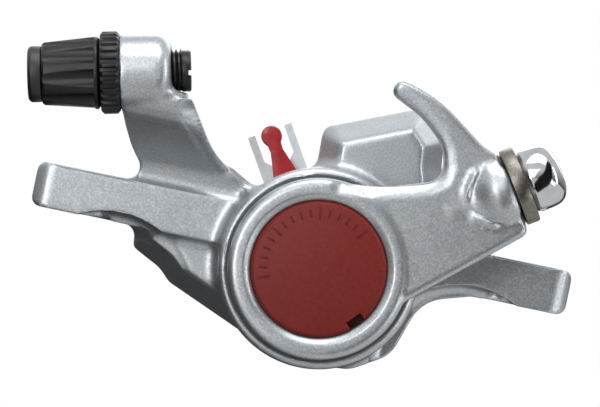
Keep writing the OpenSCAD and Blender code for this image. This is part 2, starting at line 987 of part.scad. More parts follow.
// The knob: grip hollows round its rim, and a hexagon that drives the screw
module adjust_knob() {
    lobes = 12;
    r = knob_d / 2;
    edge = 0.6;
    color("firebrick")
        on_axis()
            difference() {
                rotate_extrude()
                    polygon([
                        [0, knob_front], [r, knob_front], [r, knob_back - edge],
                        [r - edge, knob_back], [5.5, knob_back], [4.7, knob_back - 0.8],
                        [0, knob_back - 0.8]
                    ]);
                hexagon(knob_front - 1, knob_back - 1.1, 8.06);
                for (i = [0:lobes - 1])
                    rotate([0, 0, i * 360 / lobes])
                        translate([r + 0.9, 0, 0])
                            rod(knob_front - 1, knob_back + 1, 1.7, $fn = 32);
            }
}

module knob_detent() {
    color("gainsboro")
        on_axis()
            tube(knob_recess, knob_recess + 0.5, screw_d / 2 + 0.5, knob_d / 2 - 0.4);
}

// The barrel: a fluted taper to grip, and a threaded tail that screws into the boss
module barrel_adjuster() {
    grip_r0 = 6.35;
    grip_r1 = 5.5;
    flutes = 9;
    flute_r = 2;
    flute_end = 0.25;
    color("black")
        barrel_frame()
            difference() {
                union() {
                    rod(grip_start - 1, boss_l + barrel_tail, barrel_thread_d / 2);
                    rotate_extrude()
                        polygon([
                            [0, grip_end], [grip_r1 - 0.4, grip_end],
                            [grip_r1, grip_end + 0.4], [grip_r0, grip_start - 0.4],
                            [grip_r0 - 0.4, grip_start], [0, grip_start]
                        ]);
                }
                for (i = [0:flutes - 1])
                    rotate([0, 0, i * 360 / flutes])
                        translate([grip_r1 - flute_end + flute_r, 0, 0])
                            rod(grip_end - 1, grip_start - 0.9, flute_r, $fn = 48);
                rod(grip_end - 1, grip_end + sleeve_l, sleeve_r + fit);
                rod(grip_end - 1, boss_l + barrel_tail + 1, cable_hole_r);
            }
}

module barrel_collar() {
    r = 4.9;
    edge = 0.5;
    color("black")
        barrel_frame()
            difference() {
                rotate_extrude()
                    polygon([
                        [0, collar_end], [r - edge, collar_end], [r, collar_end + edge],
                        [r, grip_end - fit], [sleeve_r, grip_end - fit],
                        [sleeve_r, grip_end + sleeve_l - 0.2],
                        [0, grip_end + sleeve_l - 0.2]
                    ]);
                rod(collar_end - 1, grip_end + sleeve_l - 1.2, housing_bore_r);
                rod(collar_end - 1, grip_end + sleeve_l + 1, cable_hole_r);
            }
}

module lock_ring() {
    ribs = 29;
    rib_h = 0.45;
    r = ring_d / 2;
    edge = 0.5;
    color("black")
        barrel_frame()
            difference() {
                intersection() {
                    translate([0, 0, ring_end])
                        linear_extrude(ring_t)
                            polygon([
                                for (i = [0:ribs - 1]) for (s = [-0.3, -0.18, 0.18, 0.3])
                                    let (
                                        a = 360 * (i + s) / ribs,
                                        h = abs(s) > 0.2 ? r - rib_h : r
                                    )
                                    [h * cos(a), h * sin(a)]
                            ]);
                    rotate_extrude()
                        polygon([
                            [0, ring_end], [r - edge, ring_end], [r + 0.01, ring_end + edge],
                            [r + 0.01, ring_start - edge], [r - edge, ring_start],
                            [0, ring_start]
                        ]);
                }
                rod(ring_end - 1, ring_start + 1, barrel_thread_d / 2 + fit);
            }
}

outer_half();
inner_half();
body_bolts();
ball_race();
shaft_bush();
dust_seal();
return_spring();
pad_clip();
balls();
drive_cam();
thrust_washer();
pressure_foot();
outer_pad_plate();
outer_pad_lining();
torque_arm();
arm_bolt();
arm_washer();
arm_cap();
clamp_washer();
clamp_bolt();
inner_pad_plate();
inner_pad_lining();
adjuster_foot();
adjuster_screw();
adjust_knob();
knob_detent();
barrel_adjuster();
barrel_collar();
lock_ring();
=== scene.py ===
# %% [markdown]
# # A disc brake caliper, dressed for its portrait
#
# The caliper was modelled as exact solids in a CAD program, and this notebook gives those
# solids the surface that the real ones have: cast aluminium under silver paint, a moulded
# red cap, black knurled parts and polished steel. Blender works in metres here, and `mm`
# turns millimetres into them. The model keeps the CAD frame: X runs along the two mounting
# ears, Y points away from the viewer, and Z points up.

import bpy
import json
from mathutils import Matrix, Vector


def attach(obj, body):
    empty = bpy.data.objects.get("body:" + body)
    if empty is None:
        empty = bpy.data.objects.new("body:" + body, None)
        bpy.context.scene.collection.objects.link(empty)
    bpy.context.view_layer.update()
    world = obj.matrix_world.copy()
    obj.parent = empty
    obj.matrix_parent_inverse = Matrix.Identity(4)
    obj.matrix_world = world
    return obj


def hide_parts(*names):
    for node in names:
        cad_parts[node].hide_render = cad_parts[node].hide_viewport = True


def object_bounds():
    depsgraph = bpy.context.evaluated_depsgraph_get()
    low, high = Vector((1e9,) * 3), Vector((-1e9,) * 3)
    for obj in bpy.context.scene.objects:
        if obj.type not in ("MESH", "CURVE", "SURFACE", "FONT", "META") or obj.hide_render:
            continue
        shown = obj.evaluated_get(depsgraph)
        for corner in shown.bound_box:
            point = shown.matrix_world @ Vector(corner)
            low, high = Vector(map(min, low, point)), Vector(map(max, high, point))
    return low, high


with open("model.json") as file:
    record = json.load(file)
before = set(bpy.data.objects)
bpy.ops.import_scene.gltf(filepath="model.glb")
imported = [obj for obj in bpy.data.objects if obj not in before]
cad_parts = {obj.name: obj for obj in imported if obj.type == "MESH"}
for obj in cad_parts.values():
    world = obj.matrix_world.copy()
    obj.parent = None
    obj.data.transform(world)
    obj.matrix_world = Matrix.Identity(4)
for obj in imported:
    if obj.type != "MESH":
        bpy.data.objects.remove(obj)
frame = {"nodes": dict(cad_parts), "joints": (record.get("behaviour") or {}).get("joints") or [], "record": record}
cad_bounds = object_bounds()
print(len(frame["nodes"]), "solids loaded")

# %% [markdown]
# ## Places on the caliper
#
# Three axes carry everything: the axis of the arm and the pistons, the axis of the barrel
# adjuster and the axis of the cable clamp. They are read from the joints and the mounts of
# the imported model, so a changed model moves the dressing with it.

# %% Read the axes
import json
import math

import bpy
import numpy as np
from mathutils import Matrix, Vector

mm = 0.001

joints = {j["name"]: j for j in frame["joints"]}
mounts = {m["name"]: m for m in frame["record"]["mounts"]}

arm_axis = Vector(joints["arm_turn"]["pos_m"])
barrel_origin = Vector(joints["barrel_turn"]["pos_m"])
barrel_axis = -Vector(joints["barrel_turn"]["axis"]).normalized()
clamp_origin = Vector(mounts["cable_clamp"]["pos_m"])
clamp_axis = Vector(mounts["cable_clamp"]["axis"]).normalized()
print("barrel axis", tuple(round(c, 3) for c in barrel_axis))

# %% [markdown]
# ## Camera
#
# The photograph was taken square to the arm with a long lens, and the caliper was turned
# about 12 degrees in the picture. A narrow field of view from a metre away keeps near and
# far pieces at the same scale, as that lens does. One pixel of the 600 by 407 frame is
# 0.175 mm on the caliper, a scale that comes from the 74 mm between the mounting slots.

# %% Set up the camera
pixels_wide = 600
pixel = 0.175 * mm
roll = math.radians(11.8)
field_of_view = math.radians(6)
picture_centre = Vector((-1.53 * mm, -16 * mm, 9.81 * mm))
right = Vector((math.cos(roll), 0, math.sin(roll)))
up = Vector((-math.sin(roll), 0, math.cos(roll)))
backwards = right.cross(up)
distance = pixels_wide * pixel / 2 / math.tan(field_of_view / 2)

camera_data = bpy.data.cameras.new("camera")
camera_data.sensor_fit = "HORIZONTAL"
camera_data.angle = field_of_view
camera_data.clip_start = 10 * mm
camera_data.clip_end = 20
camera = bpy.data.objects.new("camera", camera_data)
bpy.context.scene.collection.objects.link(camera)
facing = Matrix((right, up, backwards)).transposed().to_4x4()
camera.matrix_world = Matrix.Translation(picture_centre + backwards * distance) @ facing
bpy.context.scene.camera = camera
print(f"camera {distance:.2f} m from the arm")

# %% [markdown]
# ## Nodes for materials
#
# Colours are written as sRGB hex values, the way a paint chart gives them, and one function
# turns them into the linear numbers that Cycles works with. A second one fills a node's
# inputs: an output is linked, and a number that is the same all over a surface goes straight
# on the socket. A third adds a node with its settings, its ramp's stops and its inputs.

# %% Helpers for colours and nodes
def paint(code):
    """An sRGB hex value as linear red, green, blue and alpha."""
    channels = [int(code[i:i + 2], 16) / 255 for i in (1, 3, 5)]
    return [c / 12.92 if c <= 0.04045 else ((c + 0.055) / 1.055) ** 2.4 for c in channels] + [1]


def wire(tree, node, **inputs):
    """Fills inputs by name, or by number after an underscore."""
    for name, value in inputs.items():
        socket = node.inputs[int(name[1:]) if name[0] == "_" else name.replace("_", " ")]
        if isinstance(value, bpy.types.NodeSocket):
            tree.links.new(value, socket)
        else:
            socket.default_value = value


def add(tree, kind, settings=None, stops=(), **inputs):
    """A new node with its settings, its ramp's (position, hex) stops and its inputs."""
    node = tree.nodes.new("ShaderNode" + kind)
    for name, value in (settings or {}).items():
        setattr(node, name, value)
    for number, (position, code) in enumerate(stops):
        if number == len(node.color_ramp.elements):
            node.color_ramp.elements.new(1)
        node.color_ramp.elements[number].position = position
        node.color_ramp.elements[number].color = paint(code)
    wire(tree, node, **inputs)
    return node


def new_material(name):
    """A material with its Principled shader and the object's own coordinates."""
    material = bpy.data.materials.new(name)
    material.use_nodes = True
    tree = material.node_tree
    where = add(tree, "TexCoord").outputs["Object"]
    return material, tree, tree.nodes["Principled BSDF"], where


blotch = 0.6
print("a blotch of noise is about", blotch, "of its cell")

# %% [markdown]
# ## Silver paint on a casting
#
# Both body halves and the arm are aluminium die castings under a satin silver paint. The
# paint is full of metal flakes, so it looks grey with a fine bright speckle. A real flake
# is finer than a pixel, so the flakes are drawn about one pixel wide, 0.17 mm. The paint
# pulls away from edges a little, which leaves them lighter. A high metallic value lets the
# flakes mirror the studio, and a soft roughness spreads the highlights of the soft boxes.

# %% Material: satin silver paint
def silver_paint(flake_size, cloud_size, flake_relief):
    material, tree, shader, where = new_material("silver_paint_on_casting")
    flakes = add(tree, "TexNoise", Vector=where, Scale=blotch / flake_size, Detail=2).outputs["Fac"]
    cloud = add(tree, "TexNoise", Vector=where, Scale=blotch / cloud_size, Detail=2).outputs["Fac"]
    fleck = add(tree, "ValToRGB", stops=[(0.3, "#A4A8AB"), (0.5, "#B4B8BB"), (0.7, "#C9CCCF")], Fac=flakes)
    tone = add(tree, "ValToRGB", stops=[(0.3, "#F2F3F4"), (0.7, "#FFFFFF")], Fac=cloud)
    clouded = add(tree, "Mix", {"data_type": "RGBA", "blend_type": "MULTIPLY"},
                  _0=1.0, _6=fleck.outputs["Color"], _7=tone.outputs["Color"])
    edge = add(tree, "NewGeometry").outputs["Pointiness"]
    worn = add(tree, "MapRange", Value=edge, From_Min=0.52, From_Max=0.62, To_Max=0.45)
    coat = add(tree, "Mix", {"data_type": "RGBA"},
               _0=worn.outputs["Result"], _6=clouded.outputs[2], _7=paint("#DDE0E2"))
    rough = add(tree, "MapRange", Value=flakes, To_Min=0.32, To_Max=0.44)
    relief = add(tree, "Bump", Height=flakes, Distance=flake_relief, Strength=0.3)
    wire(tree, shader, Base_Color=coat.outputs[2], Roughness=rough.outputs["Result"],
         Metallic=0.85, Normal=relief.outputs["Normal"])
    return material


silver = silver_paint(0.17 * mm, 5 * mm, 0.012 * mm)
print(silver.name, "made")

# %% [markdown]
# ## Surfaces with one grain
#
# Most of the other finishes are one colour with a fine grain: a moulded skin, the orange
# peel of a paint, the marks of a tumbler. One soft noise drives all of it, because on the
# real surface the same bumps that change the colour also scatter the light. Real grains
# are mostly finer than a pixel, so they are drawn one to five pixels wide, about as fine
# as shows. Only polished steel has a slower ripple.

# %% Helper for a surface with one grain
def grained(name, size, colours, roughness, relief, strength=0.3, detail=4, **constants):
    """A surface whose grain is about size across and relief deep, in metres.

    Colours are (share, hex) stops. A pair of roughness values follows the grain too, and a
    single one is the same all over.
    """
    material, tree, shader, where = new_material(name)
    grain = add(tree, "TexNoise", Vector=where, Scale=blotch / size, Detail=detail).outputs["Fac"]
    colour = add(tree, "ValToRGB", stops=colours, Fac=grain)
    pressed = add(tree, "Bump", Height=grain, Distance=relief, Strength=strength)
    wire(tree, shader, Base_Color=colour.outputs["Color"], Normal=pressed.outputs["Normal"], **constants)
    if isinstance(roughness, tuple):
        low, high = roughness
        roughness = add(tree, "MapRange", Value=grain, To_Min=low, To_Max=high).outputs["Result"]
    wire(tree, shader, Roughness=roughness)
    print(name, "made")
    return material


# %% [markdown]
# ## Moulded and painted reds
#
# The cap is moulded in a brick red plastic with a satin skin, and so is the knob at the
# back. The tabs of the pads are steel under a glossy crimson paint, with a clear coat over
# its orange peel. Neither is metallic to the eye, and the roughness tells them apart.

# %% Materials: red plastic and red paint
red_plastic = grained("moulded_red_plastic", 0.35 * mm, [(0.3, "#741F1A"), (0.7, "#82261F")], (0.42, 0.55),
                      0.012 * mm, strength=0.4, Specular_IOR_Level=0.3)
red_paint = grained("glossy_red_paint_on_steel", 0.8 * mm, [(0.3, "#9E141B"), (0.7, "#B01A22")], 0.22,
                    0.02 * mm, strength=0.25, detail=2, Coat_Weight=0.4, Coat_Roughness=0.1)

# %% [markdown]
# ## Blacks and rubber
#
# The barrel and its lock ring are black anodised aluminium, satin with soft grey lights
# along their ridges. The collar where the cable's outer casing enters is a moulded
# plastic, and the seal round the hub is a dull grey rubber. The fixing bolts are steel
# blackened in hot oxide, which keeps a metal's reflection under its dark skin.

# %% Materials: anodised black, plastic, rubber and black oxide
anodised = grained("black_anodised_aluminium", 0.5 * mm, [(0.35, "#101011"), (0.75, "#1C1C1E")],
                   (0.28, 0.42), 0.012 * mm, Metallic=0.1, Specular_IOR_Level=0.35)
collar_plastic = grained("moulded_black_plastic", 0.4 * mm, [(0.3, "#141415"), (0.7, "#1F1F20")], 0.42,
                         0.015 * mm, strength=0.4)
seal_rubber = grained("seal_rubber", 0.25 * mm, [(0.3, "#4A4C4E"), (0.7, "#5A5C5E")], 0.7,
                      0.015 * mm, strength=0.4)
oxide = grained("black_oxide_steel", 0.3 * mm, [(0.3, "#2C2C2E"), (0.7, "#414143")], 0.38,
                0.01 * mm, detail=3, Metallic=0.8)

# %% [markdown]
# ## Bare metals
#
# Steel is left bare where it works: the clamp washer is tumbled and a warm grey, the clamp
# bolt and the balls are polished like mirrors, the springs are bright and satin, and the
# parts of the drive are ground. The bush and the thrust washer are bronze. A metal keeps
# the default index of refraction. What changes from one to the next is the colour, the
# roughness and the size of the marks that its making left.

# %% Materials: steel and bronze
tumbled_steel = grained("tumbled_steel", 0.3 * mm, [(0.3, "#6A665F"), (0.7, "#837F78")], (0.3, 0.45),
                        0.02 * mm, Metallic=1.0)
polished_steel = grained("polished_steel", 2 * mm, [(0.3, "#B4B7B9"), (0.7, "#C4C6C8")], (0.08, 0.14),
                         0.004 * mm, Metallic=1.0)
bright_steel = grained("bright_spring_steel", 0.4 * mm, [(0.3, "#BFC2C4"), (0.7, "#D0D2D4")], (0.38, 0.46),
                       0.01 * mm, Metallic=1.0)
ground_steel = grained("ground_steel", 0.35 * mm, [(0.3, "#8F8F8E"), (0.7, "#A9A9A7")], (0.25, 0.4),
                       0.015 * mm, Metallic=1.0)
bearing_bronze = grained("bearing_bronze", 0.3 * mm, [(0.3, "#8E6A3C"), (0.7, "#A8814C")], (0.3, 0.45),
                         0.02 * mm, Metallic=1.0)

# %% [markdown]
# ## Brake lining
#
# The lining is sintered: a dark metal powder pressed hot, with copper coloured grains in
# it. Round cells of half a millimetre, each with its own random value, give such grains.

# %% Material: sintered lining
def sintered_lining(grain_size, relief_depth):
    material, tree, shader, where = new_material("sintered_lining")
    cells = add(tree, "TexVoronoi", Vector=where, Scale=1 / grain_size).outputs["Color"]
    value = add(tree, "SeparateColor", Color=cells).outputs["Red"]
    colour = add(tree, "ValToRGB", stops=[(0.0, "#2E2823"), (0.6, "#4A3E34"), (0.9, "#8A5C3A")], Fac=value)
    relief = add(tree, "Bump", Height=value, Distance=relief_depth, Strength=0.5)
    wire(tree, shader, Base_Color=colour.outputs["Color"], Metallic=0.5, Roughness=0.6,
         Normal=relief.outputs["Normal"])
    return material


lining = sintered_lining(0.5 * mm, 0.05 * mm)
print(lining.name, "made")

# %% [markdown]
# ## Casting skins
#
# A die casting has no sharp corner. Its outer edges are rounded by the mould and its inner
# corners are filled by generous fillets, where one form flows into the next. The solids
# have the forms but not the flow. Voxel remeshing gives it: the solid is remeshed on a
# fine grid, grown outwards so that inner corners fill up, remeshed, and shrunk back by the
# same amount. Smoothing then rounds what is left, and decimation takes triangles away
# where the surface is flat. It could also be done by hand with bevels, but bevels fail
# where many solids meet.
#
# Blender's operators act on whatever is selected, and the solids arrive selected. So each
# step first deselects everything and picks the objects that it works on. Modifiers are
# applied at once, so that every piece ends as plain mesh.

# %% Helpers for picking, copying and modifying
def pick(*pieces):
    bpy.ops.object.select_all(action="DESELECT")
    for piece in pieces:
        piece.select_set(True)
    bpy.context.view_layer.objects.active = pieces[0]


def modify(piece, kind, **settings):
    modifier = piece.modifiers.new(kind.title(), kind)
    for name, value in settings.items():
        setattr(modifier, name, value)
    pick(piece)
    bpy.ops.object.modifier_apply(modifier=modifier.name)


def copy_of(node, name):
    """A copy of a solid's mesh with its loose triangles joined up."""
    piece = bpy.data.objects.new(name, frame["nodes"][node].data.copy())
    bpy.context.scene.collection.objects.link(piece)
    piece.data.materials.clear()
    pick(piece)
    bpy.ops.object.mode_set(mode="EDIT")
    bpy.ops.mesh.select_all(action="SELECT")
    bpy.ops.mesh.remove_doubles(threshold=0.002 * mm)
    bpy.ops.mesh.customdata_custom_splitnormals_clear()
    bpy.ops.object.mode_set(mode="OBJECT")
    return piece


def joined(piece, *others):
    pick(piece, *others)
    bpy.ops.object.join()
    return piece


# %% Helpers for skins and finished pieces
def triangles(piece):
    return sum(len(p.vertices) - 2 for p in piece.data.polygons)


def casting_skin(node, name, fillers, voxel, fillet, carve, rounding, swell, most):
    """The solid and its fillers as one skin, its corners filled and its edges rounded."""
    piece = copy_of(node, name)
    if fillers:
        joined(piece, *fillers)
    modify(piece, "REMESH", mode="VOXEL", voxel_size=voxel)
    modify(piece, "DISPLACE", strength=fillet, mid_level=0)
    modify(piece, "REMESH", mode="VOXEL", voxel_size=voxel)
    modify(piece, "DISPLACE", strength=-fillet, mid_level=0)
    if carve:
        carve(piece)
    modify(piece, "SMOOTH", factor=0.5, iterations=rounding)
    modify(piece, "DISPLACE", strength=swell, mid_level=0)
    if triangles(piece) > most:
        modify(piece, "DECIMATE", ratio=most / triangles(piece))
    pick(piece)
    bpy.ops.object.shade_smooth()
    return piece


def finish_piece(piece, body, material, node):
    """Gives a piece its material and body, in place of the solid that it dresses."""
    piece.data.materials.clear()
    piece.data.materials.append(material)
    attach(piece, body)
    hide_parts(node)
    print(f"{piece.name}: {triangles(piece)} triangles")


# %% [markdown]
# ## Carving the castings
#
# Some forms are softer than a solid makes them. A wide bevel runs along the inner edge of
# the horn and on over the top of the blade, where it catches the light, and another runs
# down the flank of the stop arm. They are carved while the skin is still a fine grid: each
# vertex near the front is moved back along Y by an amount that depends on how close it
# lies to the edge. All sizes here are in millimetres.

# %% Helper for carving a bevel along an edge
horn_edge = [(10.4, 32.2), (13.5, 30.4), (16.6, 28.2), (19.2, 26.0), (20.9, 23.8), (21.8, 21.4),
             (21.4, 19.4), (19.5, 18.0), (16.5, 17.0), (12.4, 15.8), (8.0, 15.2), (4.0, 14.6)]
flank_edge = [(-22.9, 22.2), (-22.1, 21.0), (-20.1, 18.4), (-17.2, 15.7), (-14.6, 13.8)]


def read_points(piece):
    values = np.empty(len(piece.data.vertices) * 3)
    piece.data.vertices.foreach_get("co", values)
    return values.reshape(-1, 3) / mm


def write_points(piece, points):
    piece.data.vertices.foreach_set("co", (points * mm).ravel())
    piece.data.update()


def sink_edge(points, path, width, depth, reach):
    """Moves the front back by depth on the path, and by nothing at width from it.

    The front is found round each place on the path, and what lies reach behind it stays.
    """
    patch = 1.2
    view = points[:, (0, 2)]
    nearest = np.full(len(points), np.inf)
    front = np.zeros(len(points))
    for start, end in zip(path, path[1:]):
        for share in (0, 0.25, 0.5, 0.75):
            spot = (1 - share) * np.array(start) + share * np.array(end)
            away = np.linalg.norm(view - spot, axis=1)
            closer = away < nearest
            nearest[closer] = away[closer]
            front[closer] = points[away < patch, 1].min()
    closeness = np.clip(1 - nearest / width, 0, 1)
    frontness = np.clip(1 - (points[:, 1] - front) / reach, 0, 1)
    points[:, 1] += depth * closeness * frontness


def carve_flank(piece):
    points = read_points(piece)
    sink_edge(points, flank_edge, width=2.6, depth=3, reach=7)
    write_points(piece, points)


print("edges of", len(horn_edge), "and", len(flank_edge), "points to bevel")

# %% [markdown]
# The thick end of the blade under the clamp swells out in a slow curve. It has the shape
# of a round bar about the clamp's axis that grows thicker towards the clamp. A soft
# maximum of the blade's flat front and the bar joins them with no crease.

# %% Helper for carving the arm
blade_front = -22.7
blade_top = 18
blade_bevel = 1.0
horn_foot = 22
horn_bevel = 0.45
neck_radius = 3.6
radius_gain = 3.15
growth_start = -9
growth_length = 6.5
crease_sharpness = 2.5
swell_from = -12
swell_to = -2.5
front_skin = 0.4
fade_start = -1.2
fade_length = 0.8


def swell_clamp_end(points):
    view = points[:, (0, 2)] - np.array(clamp_origin)[[0, 2]] / mm
    direction = np.array(clamp_axis)[[0, 2]]
    along = view @ direction
    aside = view @ np.array([-direction[1], direction[0]])
    share = np.clip((along - growth_start) / growth_length, 0, 1)
    radius = neck_radius + radius_gain * share * share * (3 - 2 * share)
    height = blade_front - clamp_origin.y / mm + np.sqrt(np.maximum(radius ** 2 - aside ** 2, 0))
    swollen = blade_front - np.logaddexp(0, crease_sharpness * height) / crease_sharpness
    near = (points[:, 1] < blade_front + front_skin) & (along > swell_from) & (along < swell_to)
    blend = np.clip((height - fade_start) / fade_length, 0, 1) * near
    points[:, 1] += blend * (swollen - points[:, 1])


def carve_arm(piece):
    """Swells the clamp's end, then bevels the blade's top deeply and the horn less."""
    points = read_points(piece)
    swell_clamp_end(points)
    depth = np.interp(points[:, 2], (blade_top, horn_foot), (blade_bevel, horn_bevel))
    sink_edge(points, horn_edge, width=2.1, depth=depth, reach=4)
    write_points(piece, points)


print("bar under the clamp grows to", neck_radius + radius_gain, "mm in radius")

# %% [markdown]
# Two places flow further than a fillet can reach. The arm's blade meets its hub in a long
# soft curve, and the stop arm's flank meets its boss in a small web. A slab under the skin
# fills each of them, and the skin then melts it in.

# %% Skin the two body halves and the arm
def slab(name, outline, front, back):
    """A plate between two places along Y, from an outline in X and Z in millimetres."""
    data = bpy.data.meshes.new(name)
    count = len(outline)
    points = [(x * mm, y * mm, z * mm) for y in (front, back) for x, z in outline]
    sides = [(i, (i + 1) % count, count + (i + 1) % count, count + i) for i in range(count)]
    ends = [tuple(range(count - 1, -1, -1)), tuple(range(count, 2 * count))]
    data.from_pydata(points, [], sides + ends)
    piece = bpy.data.objects.new(name, data)
    bpy.context.scene.collection.objects.link(piece)
    pick(piece)
    bpy.ops.object.mode_set(mode="EDIT")
    bpy.ops.mesh.select_all(action="SELECT")
    bpy.ops.mesh.normals_make_consistent(inside=False)
    bpy.ops.object.mode_set(mode="OBJECT")
    return piece


coarse = 1.0

flank_filler = slab("flank_filler", [(-27.7, 24.6), (-26.1, 24.6), (-24.7, 24.5), (-24.0, 23.9),
                                     (-23.9, 23.5), (-27.3, 22.8)], -21.5, -15.5)
outer_skin = casting_skin("outer_half", "outer_casting", [flank_filler], voxel=0.32 * mm * coarse,
                          fillet=1.2 * mm, carve=carve_flank, rounding=12, swell=0.10 * mm, most=190000)
finish_piece(outer_skin, "body", silver, "outer_half")

inner_skin = casting_skin("inner_half", "inner_casting", [], voxel=0.36 * mm * coarse,
                          fillet=0.8 * mm, carve=None, rounding=8, swell=0.08 * mm, most=90000)
finish_piece(inner_skin, "body", silver, "inner_half")

hub_filler = slab("hub_filler", [(2.5, 14.4), (6.3, 14.9), (9.0, 15.1), (12.4, 15.6), (16.0, 16.7),
                                 (15.0, 10.0), (5.0, 12.0)], -22.4, -14.6)
arm_skin = casting_skin("torque_arm", "arm_casting", [hub_filler], voxel=0.25 * mm * coarse,
                        fillet=0.8 * mm, carve=carve_arm, rounding=14, swell=0.08 * mm, most=160000)
finish_piece(arm_skin, "arm", silver, "torque_arm")

# %% [markdown]
# ## Finishes of the solids
#
# Every solid gets the material of the real piece. Most of them are turned or stamped parts
# whose shape is already right, so that is all they need. The castings have their skins,
# and the cells after this one dress a few more.

# %% Give each solid its material
finishes = {
    "body_bolts": oxide, "ball_race": ground_steel, "shaft_bush": bearing_bronze,
    "dust_seal": seal_rubber, "return_spring": bright_steel, "pad_clip": bright_steel,
    "balls": polished_steel, "drive_cam": ground_steel, "thrust_washer": bearing_bronze,
    "pressure_foot": ground_steel, "outer_pad_plate": red_paint, "outer_pad_lining": lining,
    "arm_bolt": oxide, "arm_washer": ground_steel, "arm_cap": red_plastic,
    "clamp_washer": tumbled_steel, "clamp_bolt": polished_steel,
    "inner_pad_plate": red_paint, "inner_pad_lining": lining,
    "adjuster_foot": ground_steel, "adjuster_screw": ground_steel,
    "adjust_knob": red_plastic, "knob_detent": bright_steel,
    "barrel_adjuster": anodised, "barrel_collar": collar_plastic, "lock_ring": anodised,
    "outer_half": silver, "inner_half": silver, "torque_arm": silver,
}
for node, material in finishes.items():
    solid = frame["nodes"][node]
    solid.data.materials.clear()
    solid.data.materials.append(material)
print(len(finishes), "solids have their materials")

# %% [markdown]
# ## Softened edges
#
# A turned or stamped piece has a small rounding on each edge, and that is where it catches
# the light. Flat faces are first dissolved into single polygons, so that only the real
# edges are left, and the Bevel modifier then rounds each edge that is sharper than its
# limit. It cuts into the piece, so nothing grows past the solid.

# %% Bevel the stamped and turned pieces
def smooth(piece, degrees=40):
    pick(piece)
    bpy.ops.object.shade_smooth_by_angle(angle=math.radians(degrees))


def round_edges(piece, width, segments, sharper_than):
    modify(piece, "BEVEL", width=width, segments=segments, limit_method="ANGLE",
           angle_limit=math.radians(sharper_than))


def soften(piece, width, segments=2):
    modify(piece, "DECIMATE", decimate_type="DISSOLVE", angle_limit=math.radians(1.5))
    round_edges(piece, width, segments, sharper_than=32)
    smooth(piece)


def softened(node, name, width, segments=2):
    piece = copy_of(node, name)
    soften(piece, width, segments)
    return piece


outer_tab = softened("outer_pad_plate", "outer_tab", 0.25 * mm, 3)
finish_piece(outer_tab, "piston", red_paint, "outer_pad_plate")
inner_tab = softened("inner_pad_plate", "inner_tab", 0.25 * mm, 3)
finish_piece(inner_tab, "inner_pad", red_paint, "inner_pad_plate")

ring = softened("lock_ring", "knurled_ring", 0.1 * mm)
finish_piece(ring, "ring", anodised, "lock_ring")
entry_collar = softened("barrel_collar", "entry_collar", 0.25 * mm, 3)
finish_piece(entry_collar, "collar", collar_plastic, "barrel_collar")

# %% [markdown]
# ## The clamp bolt
#
# The cable clamp's bolt has a tall, domed head with a polished skin and a hexagon socket.
# A lathe would turn it from a profile, and the Screw modifier does the same: it sweeps the
# profile once round the axis. A bolt is easiest to turn upright at the origin, and is then
# laid on the clamp's axis.

# %% Helpers for turning a profile and laying it on an axis
def turned(name, profile, steps=96):
    """A solid of revolution about Z from a profile of radius and height in millimetres."""
    data = bpy.data.meshes.new(name)
    points = [(r * mm, 0, z * mm) for r, z in profile]
    data.from_pydata(points, [(i, i + 1) for i in range(len(points) - 1)], [])
    piece = bpy.data.objects.new(name, data)
    bpy.context.scene.collection.objects.link(piece)
    modify(piece, "SCREW", angle=math.tau, steps=steps, render_steps=steps, use_merge_vertices=True,
           merge_threshold=0.001 * mm, use_normal_calculate=True)
    pick(piece)
    bpy.ops.object.mode_set(mode="EDIT")
    bpy.ops.mesh.select_all(action="SELECT")
    bpy.ops.mesh.remove_doubles(threshold=0.001 * mm)
    bpy.ops.mesh.normals_make_consistent(inside=False)
    bpy.ops.object.mode_set(mode="OBJECT")
    return piece


def place(piece, matrix):
    """Moves a piece modelled at the origin to its place, and leaves that in its mesh."""
    piece.matrix_world = matrix
    pick(piece)
    bpy.ops.object.transform_apply(location=True, rotation=True, scale=True)


def looking_along(origin, direction):
    """A place whose own Z axis points along direction and whose X axis stays level."""
    z = Vector(direction).normalized()
    y = z.cross(Vector((0, 1, 0))) if abs(z.y) < 0.9 else Vector((0, 0, 1))
    x = y.cross(z).normalized()
    return Matrix.Translation(origin) @ Matrix((x, z.cross(x), z)).transposed().to_4x4()


clamp_place = looking_along(clamp_origin, clamp_axis)
print("clamp axis", tuple(round(c, 3) for c in clamp_axis))

# %% [markdown]
# The head's dome is a cubic superellipse, flatter on top than a ball, and it stops a little
# short of its top at a flat. The socket is cut by a cylinder with six sides, wide enough
# for a 5 mm key, and a bevel takes off the last sharp edges.

# %% Turn the clamp bolt
def named(name):
    """The object that an operator has just added, under its own name."""
    piece = bpy.context.active_object
    piece.name = name
    piece.data.name = name
    return piece


def rod(name, radius, bottom, top, sides=64):
    """An upright cylinder on Z, from sizes in millimetres."""
    bpy.ops.mesh.primitive_cylinder_add(vertices=sides, radius=radius * mm, depth=(top - bottom) * mm,
                                        location=(0, 0, (top + bottom) / 2 * mm))
    piece = named(name)
    pick(piece)
    bpy.ops.object.transform_apply(location=True)
    return piece


def cut(piece, cutter):
    modify(piece, "BOOLEAN", operation="DIFFERENCE", object=cutter, solver="EXACT")
    bpy.data.objects.remove(cutter)


washer_t = 2.5
shank_r = 2.9
shank_end = -11.9
head_r = 5.6
dome_start = 5.0
head_top = 9.05
flat_top = head_top - 0.1
dome_steps = 24
dome_share = 0.97
key_width = 5
socket_depth = 3.4
bolt_profile = [(0, shank_end), (shank_r - 0.4, shank_end), (shank_r, shank_end + 0.4), (shank_r, washer_t),
                (head_r - 0.6, washer_t), (head_r - 0.25, washer_t + 0.3), (head_r, washer_t + 1.1)]
for step in range(dome_steps + 1):
    share = step / dome_steps * dome_share
    dome_r = head_r * (1 - share ** 3) ** (1 / 3)
    bolt_profile.append((dome_r, dome_start + (head_top - dome_start) * share))
bolt_profile.append((0, flat_top))

